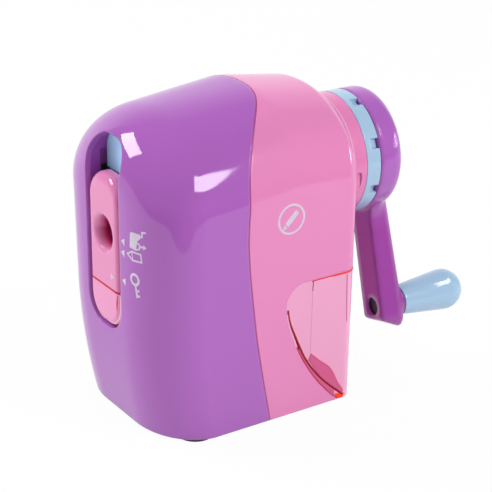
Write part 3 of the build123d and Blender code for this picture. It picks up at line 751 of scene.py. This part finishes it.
# Slot backing: a purple web behind the shield that closes the top of the slot, and a black sheet of painted
# shade at the catch window.
# A short liner runs from the slot's edge back to it, and the sheet lies on the slot's side where the window
# lets the nose of the spring through.
backing_thickness = 0.4
backing_front = shield_front + shield_thickness + 0.05
backing_outline = arched(half=12.6, foot=84.0, top=slot_high + 1.5, corner=4.0)
backing = slab("slot_backing", backing_outline, backing_front, backing_front + backing_thickness)
liner_purple = moulded_plastic("liner_purple", linear(166, 74, 178), roughness=0.2)
paint(backing, liner_purple)


def slot_outline(grow):
    """The slot's rounded outline across and up, grown by a little."""
    half = slot_width / 2 - slot_corner
    high = slot_high - slot_corner
    low = slot_low + slot_corner
    reach = slot_corner + grow
    run = []
    for x, z, begin in ((half, high, 0), (-half, high, 90), (-half, low, 180), (half, low, 270)):
        for step in range(0, 16):
            turn = math.radians(begin + 6 * step)
            run.append((x + reach * math.cos(turn), z + reach * math.sin(turn)))
    return run


liner_rear = front_y + 7.8
lip_inset = 1.2
liner = slab("slot_liner", slot_outline(0.7), front_y - 1.0, liner_rear)
cut(liner, slab("liner_tool", slot_outline(0.06), front_y - 2.0, liner_rear + 1.2))
for vertex in liner.data.vertices:
    if vertex.co.y < front_y * MM:
        outside = Vector((vertex.co.x, 2 * front_y * MM, vertex.co.z))
        found, lip, _, _ = front_shell.ray_cast(outside, Vector((0, 1, 0)))
        lip_depth = lip.y if found else front_y * MM
        vertex.co.y = min(lip_depth + lip_inset * MM, (liner_rear - 0.1) * MM)
finish_mesh(liner)
paint(liner, liner_purple)
catch_outline = [(-61.2, 80.6), (-60.9, 80.2), (-59.3, 80.2), (-59.0, 80.6),
                 (-59.0, 84.3), (-59.3, 84.7), (-60.9, 84.7), (-61.2, 84.3)]
catch_side = -11.34
catch_thickness = 0.14
catch = prism("catch_shade_sheet", catch_outline, catch_side, catch_side + catch_thickness)
# Painted shade: a thin black sheet on the slot's side for the dark of the window.
catch_shade_black = moulded_plastic("catch_shade_black", linear(24, 10, 26), roughness=0.5)
paint(catch, catch_shade_black)
for piece in (backing, liner, catch):
    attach(piece, "housing")

# Drawer: a clear pink bin that slides out at the tail, flush with the casing.
# Light that runs inside the plastic comes out red at the cut edges, so its rims glow; a pale line on each
# side along the upper scoop is a painted highlight.
drawer_pink = clear_plastic("drawer_pink", linear(246, 170, 208), 0.82)
paint(nodes["drawer"], drawer_pink)
orange_edge = glowing_edge("orange_edge", linear(244, 58, 34), 0.45)
maroon_edge = glowing_edge("maroon_edge", linear(160, 10, 26), 0.1)
pale_edge = glowing_edge("pale_edge", linear(228, 152, 192), 0.1)
highlight_edge = glowing_edge("highlight_edge", linear(246, 178, 214), 0.15)
mauve_edge = glowing_edge("mauve_edge", linear(214, 118, 172), 0.1)
hot_edge = glowing_edge("hot_edge", linear(236, 84, 128), 0.15)
crimson_edge = glowing_edge("crimson_edge", linear(206, 26, 78), 0.2)
deep_pink = moulded_plastic("deep_pink", linear(214, 84, 140), roughness=0.12)


def side_place(y, z, side, lift):
    """A point on the casing's side at a depth and height, lifted off its skin."""
    lean = side_lean * (z - lower_edge) / (shaft_height - lower_edge)
    nose = front_y + draw_back * max(0.0, 1 - (z - lower_edge) / draw_back_height) ** 2
    start = nose + corner_depth
    end = rear_y - rear_round
    along = min(max((y - start) / (end - start), 0.0), 1.0)
    x = front_half_width + (rear_half_width - front_half_width) * along + lean
    x -= rear_round * quarter(rear_y - y, rear_round)
    return Vector((side * (x + lift), y, z))


def side_patch(name, upper, lower, side, lift):
    """A thin patch on the casing's side between two runs of places, in depth and height."""
    steps = 32
    patch_thickness = 0.06
    upper = through(upper)
    lower = through(lower)
    bpy.ops.object.select_all(action="DESELECT")
    bpy.ops.mesh.primitive_grid_add(x_subdivisions=steps, y_subdivisions=4, size=2.0)
    made = bpy.context.object
    made.name = name
    for vertex in made.data.vertices:
        along = (vertex.co.x + 1) / 2
        across = (vertex.co.y + 1) / 2
        high = upper[round(along * (len(upper) - 1))]
        low = lower[round(along * (len(lower) - 1))]
        spot = low + (high - low) * across
        vertex.co = side_place(spot.x, spot.y, side, lift) * MM
    finish_mesh(made)
    modify(made, "SOLIDIFY", thickness=patch_thickness * MM, offset=0.0)
    finish_mesh(made)
    return made


scoop_line = [(-17.6, 39.5), (-17.1, 36.5), (-14.1, 28.7), (-9.4, 19.1), (-3.5, 11.3), (6.2, 2.3)]
outer_line = [(-15.0, 29.0), (-13.66, 25.3), (-9.05, 16.7), (-2.9, 8.3), (2.8, 2.5), (4.4, 1.3)]
floor_top = [(-7.8, 21.3), (-4.2, 18.0), (0.6, 13.7), (4.3, 7.0), (6.5, 3.7)]
floor_foot = [(-8.7, 19.2), (-4.4, 12.9), (0.9, 7.2), (4.0, 4.3), (6.3, 2.5)]
corner_top = [(2.9, 3.3), (5.0, 3.0), (7.2, 2.6)]
corner_foot = [(3.6, 1.4), (4.8, 1.2), (6.2, 1.1)]
band_top = [(-12.6, 26.3), (-9.0, 18.9), (-3.4, 11.2), (2.6, 5.0)]
band_foot = [(-12.7, 23.6), (-9.0, 16.8), (-2.9, 8.4), (2.8, 2.7)]
top_line = [(y, drawer_top - 0.3) for y in (drawer_corner + 2.6, 0.0, 6.0, 9.0, 10.2)]
# Painted highlight: a pale line along each side's upper scoop, where its rounded rim catches the light.
side_highlight = [(-17.9, 38.0), (-16.9, 33.6), (-15.2, 29.2), (-13.7, 25.4)]
inner_end = [(6.1, 46.8), (6.4, 38.0), (6.8, 29.5)]
inner_top = [(-7.7, drawer_top - 0.5), (-7.75, 45.8), (-7.8, 44.2)]
inner_line = [(-7.8, 44.2), (-7.85, 33.0), (-7.9, 21.5)]
end_line = [(0.0, drawer_top - 0.45), (4.0, drawer_top - 0.5), (8.5, drawer_top - 0.5),
            (10.2, drawer_top - 0.55)]
patch_lift = 0.03
corner_lift = 0.05
bead_lift = 0.02
for side, word in ((1, "right"), (-1, "left")):
    patches = [side_patch(f"drawer_floor_{word}", floor_top, floor_foot, side, patch_lift),
               side_patch(f"drawer_band_{word}", band_top, band_foot, side, patch_lift)]
    corner_patch = side_patch(f"drawer_corner_{word}", corner_top, corner_foot, side, corner_lift)
    for patch in patches:
        paint(patch, deep_pink)
    paint(corner_patch, orange_edge)
    lines = [(inner_top, 0.2, maroon_edge, "inner_top"), (inner_line, 0.12, pale_edge, "inner_line"),
             (side_highlight, 0.4, highlight_edge, "side_highlight"), (inner_end, 0.26, mauve_edge, "inner_end"),
             (floor_top, 0.2, hot_edge, "floor_rim"),
             (scoop_line, 0.46, maroon_edge, "scoop"), (outer_line, 0.2, crimson_edge, "rim"),
             (top_line, 0.22, red_edge, "top"), (end_line, 0.3, orange_edge, "end")]
    rims = []
    for places, radius, finish, kind in lines:
        spots = [side_place(point.x, point.y, side, bead_lift - radius / 2) for point in through(places)]
        rim = bead(f"drawer_{kind}_{word}", spots, radius)
        paint(rim, finish)
        rims.append(rim)
    for piece in patches + [corner_patch] + rims:
        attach(piece, "drawer")

# Cutter unit: the light-blue holder with the notched grip ring, and the gear ring and bush in it.
# The holder is glossy moulded plastic, and the ring is turned by hand to free the unit from the collar.
blue = moulded_plastic("light_blue_abs", linear(170, 203, 230))
paint(nodes["cutter_unit"], blue)
paint(nodes["feed_drum"], blue)
paint(nodes["cutter_carriage"], inner_plastic)
for metal in ("ring_gear", "shaft_bush", "helical_cutter", "cutter_pinion", "cutter_axle", "drum_screws",
              "roller_pins", "crank_shaft", "shaft_screw", "thrust_washer"):
    paint(nodes[metal], steel)
for number in (1, 2, 3):
    paint(nodes[f"feed_roller_{number}"], rubber)

# Crank: the purple disc and arm, moulded in one, with the knob's screw in a recess of the arm.
# The knob is a light-blue moulding that spins on the screw.
# Painted shade: the arm fades to a deeper purple below the disc, and its edges carry little painted
# highlight.
crank_purple = moulded_plastic("crank_purple", linear(178, 102, 194), edge_round=3.0,
                               shade_colour=linear(160, 70, 164), shade_heights=(68, 50), edge_highlight=0.06)
paint(nodes["crank_arm"], crank_purple)
dark_steel = machined_steel("dark_steel", linear(70, 66, 74), 0.4)
paint(nodes["knob_screw"], dark_steel)
paint(nodes["crank_knob"], blue)

# Printed marks: white pad prints on the front corner that show where the shutter stands.
# They are arrows and plain pictures of a sharpener, a pencil and a key, a hair thick on the casing.
print_lift = 0.02
print_thickness = 0.03


def corner_place(x, z):
    """A point on the casing's rounded front corner at a place across and up, a hair off it."""
    lean = side_lean * (z - lower_edge) / (shaft_height - lower_edge)
    flat = front_half_width + lean - corner_width
    share = min(max((x - flat) / corner_width, 0.0), 1.0)
    return Vector((x, front_y + corner_depth * (1 - math.sqrt(1 - share * share)) - print_lift, z))


def printed(name, outline, place_on, cuts=3):
    """A filled print: an outline across and up, divided finely, laid on a surface and given its thickness."""
    bpy.ops.object.select_all(action="DESELECT")
    bpy.ops.mesh.primitive_circle_add(vertices=len(outline), fill_type="TRIFAN")
    made = bpy.context.object
    made.name = name
    middle = Vector((0, 0))
    for point in outline:
        middle += Vector(point) / len(outline)
    spots = [middle] + [Vector(point) for point in outline]
    for vertex in made.data.vertices:
        index = 0
        if vertex.co.length > 0.5:
            turn = math.atan2(-vertex.co.x, vertex.co.y) / math.tau
            index = 1 + round(turn * len(outline)) % len(outline)
        vertex.co = Vector((spots[index].x, 0, spots[index].y))
    bpy.ops.object.mode_set(mode="EDIT")
    bpy.ops.mesh.select_all(action="SELECT")
    bpy.ops.mesh.subdivide(number_cuts=cuts)
    bpy.ops.object.mode_set(mode="OBJECT")
    for vertex in made.data.vertices:
        vertex.co = place_on(vertex.co.x, vertex.co.z) * MM
    finish_mesh(made)
    modify(made, "SOLIDIFY", thickness=print_thickness * MM, offset=0.0)
    finish_mesh(made)
    return made


def stroke(points, width):
    """Outlines of the straight strokes along a run of points, each a little longer than its line."""
    outlines = []
    for first, second in zip(points, points[1:]):
        first, second = Vector(first), Vector(second)
        along = (second - first).normalized() * width / 2
        aside = Vector((-along.y, along.x))
        start = first - along
        end = second + along
        outlines.append([start + aside, start - aside, end - aside, end + aside])
    return outlines


def ring_strokes(x, z, radius, width, sides=20):
    """Outlines of a ring made of short strokes that meet edge to edge."""
    outlines = []
    middle = Vector((x, z))
    turns = [math.tau * step / sides for step in range(sides + 1)]
    spokes = [Vector((math.cos(turn), math.sin(turn))) for turn in turns]
    inner = radius - width / 2
    outer = radius + width / 2
    for first, second in zip(spokes, spokes[1:]):
        outlines.append([middle + first * inner, middle + first * outer,
                         middle + second * outer, middle + second * inner])
    return outlines


def print_of(name, outlines, place_on, body, finish):
    """One thin print out of several outlines, with its finish, on a body."""
    pieces = [printed(f"{name}_{number}", outline, place_on) for number, outline in enumerate(outlines)]
    only(pieces[0])
    for piece in pieces:
        piece.select_set(True)
    bpy.ops.object.join()
    pieces[0].name = name
    paint(pieces[0], finish)
    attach(pieces[0], body)


ink, ink_shader, ink_place = new_material("white_ink")
ink_tone = ink_place.blend(ink_place.noise(700.0, 3.0), linear(204, 190, 212), linear(224, 214, 230))
ink_tone.feed(ink_shader, "Base Color")
ink_shader.inputs["Roughness"].default_value = 0.35
arrow_half = 1.3
arrow_length = 2.1
marks = []
for x, z in ((13.6, 67.1), (13.4, 63.2), (13.7, 53.6)):
    tip = x - arrow_length / 2
    foot = x + arrow_length / 2
    marks.append([(tip, z), (foot, z - arrow_half), (foot, z + arrow_half)])
marks += [[(17.6, 66.5), (20.6, 66.1), (21.4, 69.6), (22.6, 70.6), (22.6, 72.0), (18.6, 71.9), (17.9, 71.2)]]
marks += stroke([(22.6, 71.2), (23.4, 71.5), (23.4, 72.9), (24.6, 73.1)], 0.6)
marks += stroke([(21.4, 68.8), (22.2, 68.6), (22.1, 67.0), (20.8, 66.5)], 0.5)
marks += stroke([(22.4, 67.9), (23.8, 68.0)], 0.7)
marks += [[(25.0, 68.1), (23.7, 67.1), (23.7, 68.9)]]
marks += stroke([(16.3, 63.9), (18.6, 65.3), (22.6, 65.3), (22.9, 62.7), (18.9, 62.4), (16.3, 63.9)], 0.55)
marks += stroke([(18.6, 65.3), (18.9, 62.4)], 0.4)
marks += ring_strokes(19.6, 56.0, 1.75, 0.9)
marks += stroke([(19.9, 54.0), (20.5, 50.4)], 0.8)
marks += stroke([(20.1, 52.4), (21.2, 52.5)], 0.7)
marks += stroke([(20.4, 50.7), (21.4, 50.8)], 0.7)
print_of("front_marks", marks, corner_place, "housing", ink)
emblem_y = -17.3
emblem_z = 71.6
emblem = ring_strokes(emblem_y, emblem_z, 4.9, 0.75, 32)
pencil_body = [(-1.2, -2.5), (2.9, 1.6), (1.6, 2.9), (-2.5, -1.2)]
pencil_point = [(-3.3, -3.3), (-1.5, -2.75), (-2.75, -1.5)]
for shape in (pencil_body, pencil_point):
    emblem.append([(emblem_y + y, emblem_z + z) for y, z in shape])


def side_print(y, z):
    """A point on the casing's right side, a hair off it."""
    return side_place(y, z, 1, print_lift)


def shutter_print(x, z):
    """A point on the shutter's front, a hair off it."""
    return shutter_place(x, z, print_lift)


print_of("side_emblem", emblem, side_print, "housing", ink)
pointer = [(6.8, 52.2), (4.8, 53.4), (4.8, 51.0)]
print_of("shutter_pointer", [pointer], shutter_print, "shutter", ink)

# Shutter lines: the joint between cap and tail, and a streak beside the tail's edge, glow a dark red.
# They are the light that leaves the clear plastic there, laid on as thin strips that follow the front.
joint_half = 0.36
joint_low = shutter_joint - joint_half
joint_high = shutter_joint + joint_half
strip_step = 0.6
joint_strips = []
for step in range(-16, 16):
    left = strip_step * step
    right = left + strip_step
    joint_strips.append([(left, joint_low), (right, joint_low), (right, joint_high), (left, joint_high)])
streak_strips = [[(7.9, 44.0), (8.7, 44.0), (8.8, 46.4), (8.5, 46.4)],
                 [(8.0, 41.2), (8.3, 41.2), (8.7, 44.0), (7.9, 44.0)]]
streak_red = glowing_edge("streak_red", linear(224, 62, 92), 0.2)
print_of("shutter_joint_glow", joint_strips, shutter_print, "shutter", dark_red)
print_of("shutter_streak_glow", streak_strips, shutter_print, "shutter", streak_red)

# Floor, light and camera: a plain white table, two soft lamps, an even fill and a pale backdrop.
# The lamps light the object without a reflection, and glowing cards give the bright patches in the gloss.
# The table's gloss ends at an edge, so the lower casing reflects a darker room in front of it.
bpy.ops.object.select_all(action="DESELECT")
bpy.ops.mesh.primitive_plane_add(size=30.0)
floor = bpy.context.object
floor.name = "floor"
table_edge = 0.2
edge_across = 0.87
edge_along = 0.5
material, shader, place = new_material("white_floor")
tree = material.node_tree
shader.inputs["Base Color"].default_value = (0.9, 0.9, 0.9, 1.0)
shader.inputs["Roughness"].default_value = 0.9
path = tree.nodes.new("ShaderNodeLightPath")
seen = place.maths("MAXIMUM", place.take(path, "Is Camera Ray"), place.take(path, "Is Transmission Ray"))
toward = place.axis(0) * edge_across - place.axis(1) * edge_along
table = place.maths("LESS_THAN", toward, table_edge)
lit = place.maths("MAXIMUM", seen, table * 0.92 + 0.04)
seen = place.maths("MAXIMUM", seen, place.take(path, "Is Glossy Ray"))
white = place.node("Emission", Color=lit, Strength=1.0)
mix = place.node("MixShader", i0=seen * 0.96)
tree.links.new(shader.outputs[0], mix.inputs[1])
tree.links.new(white.outputs[0], mix.inputs[2])
tree.links.new(mix.outputs[0], tree.nodes["Material Output"].inputs["Surface"])
floor.data.materials.append(material)

fill = 0.52
fill_in_gloss = 0.22
world = bpy.data.worlds.new("studio")
bpy.context.scene.world = world
world.use_nodes = True
sky = world.node_tree.nodes["Background"]
sky.inputs[0].default_value = (1, 1, 1, 1)
glossy = world.node_tree.nodes.new("ShaderNodeLightPath").outputs["Is Glossy Ray"]
room = Shade(world.node_tree, glossy)
(fill - room * (fill - fill_in_gloss)).feed(sky, "Strength")


def softbox(name, direction, across, width, height, brightness, distance=0.9):
    """A rectangular lamp out along a direction, its width along another, that shows no reflection."""
    away = Vector(direction).normalized()
    side = (Vector(across) - away * away.dot(Vector(across))).normalized()
    lamp = bpy.data.lights.new(name, "AREA")
    lamp.shape = "RECTANGLE"
    lamp.size = width
    lamp.size_y = height
    lamp.energy = brightness * math.pi * width * height
    lamp_object = bpy.data.objects.new(name, lamp)
    bpy.context.scene.collection.objects.link(lamp_object)
    turn = Matrix((side, away.cross(side), away)).transposed()
    lamp_object.matrix_world = Matrix.Translation(away * distance) @ turn.to_4x4()
    lamp_object.visible_glossy = False


softbox("left_softbox", (-0.56, -0.49, 0.62), (0.19, 0.14, 0.28), 0.2, 0.36, 18.5)
softbox("right_softbox", (0.69, 0.32, 0.6), (0.0, 0.4, -0.18), 0.32, 0.3, 11.0)
card_material, _, card_place = new_material("card_glow")
card_glow = card_place.node("Emission", Color=(1, 1, 1, 1), Strength=13.0)
card_place.take(card_glow).feed(card_material.node_tree.nodes["Material Output"], "Surface")


def light_card(name, corners):
    """A glowing card through a few corners in millimetres, seen only as a bright patch in the gloss."""
    bpy.ops.object.select_all(action="DESELECT")
    bpy.ops.mesh.primitive_circle_add(vertices=len(corners), fill_type="NGON")
    card = bpy.context.object
    card.name = name
    for vertex, corner in zip(card.data.vertices, corners):
        vertex.co = Vector(corner) * MM
    paint(card, card_material)
    card.visible_diffuse = False
    card.visible_camera = False


light_card("left_card", [(-390, -730, 545), (-270, -600, 760), (-550, -305, 765), (-645, -385, 635)])
light_card("knob_card", [(50, 87, 104), (78, 89, 88), (59, 111, 88), (31, 109, 104)])
light_card("right_card", [(765, -45, 615), (730, 370, 490), (635, 350, 640), (550, 305, 735), (540, 65, 825)])

bpy.ops.object.select_all(action="DESELECT")
bpy.ops.mesh.primitive_plane_add(size=4.0, location=(-1.7, 1.04, 1.0),
                                 rotation=(math.pi / 2, 0, math.radians(58.5)))
backdrop = bpy.context.object
backdrop.name = "backdrop"
bpy.ops.object.transform_apply(location=True, rotation=True, scale=True)
backdrop_white, _, place = new_material("white_backdrop")
dimmed = place.ramp(place.axis(2), 0.9, 2.9, 1.0, 0.3)
glow = place.node("Emission", Color=dimmed, Strength=1.0)
place.take(glow).feed(backdrop_white.node_tree.nodes["Material Output"], "Surface")
backdrop.data.materials.append(backdrop_white)

focal_pixels = 1900.0
picture_pixels = 492.0
camera = bpy.data.cameras.new("camera")
camera.sensor_width = 36.0
camera.lens = camera.sensor_width * focal_pixels / picture_pixels
camera.clip_start = 0.05
camera.clip_end = 40.0
eye = Vector((508.2, -323.3, 287.3)) * MM
target = Vector((-23.4, 1.2, 38.8)) * MM
camera_object = bpy.data.objects.new("camera", camera)
bpy.context.scene.collection.objects.link(camera_object)
camera_object.location = eye
camera_object.rotation_euler = (target - eye).to_track_quat("-Z", "Y").to_euler()
bpy.context.scene.camera = camera_object
bpy.context.scene.view_settings.view_transform = "Standard"
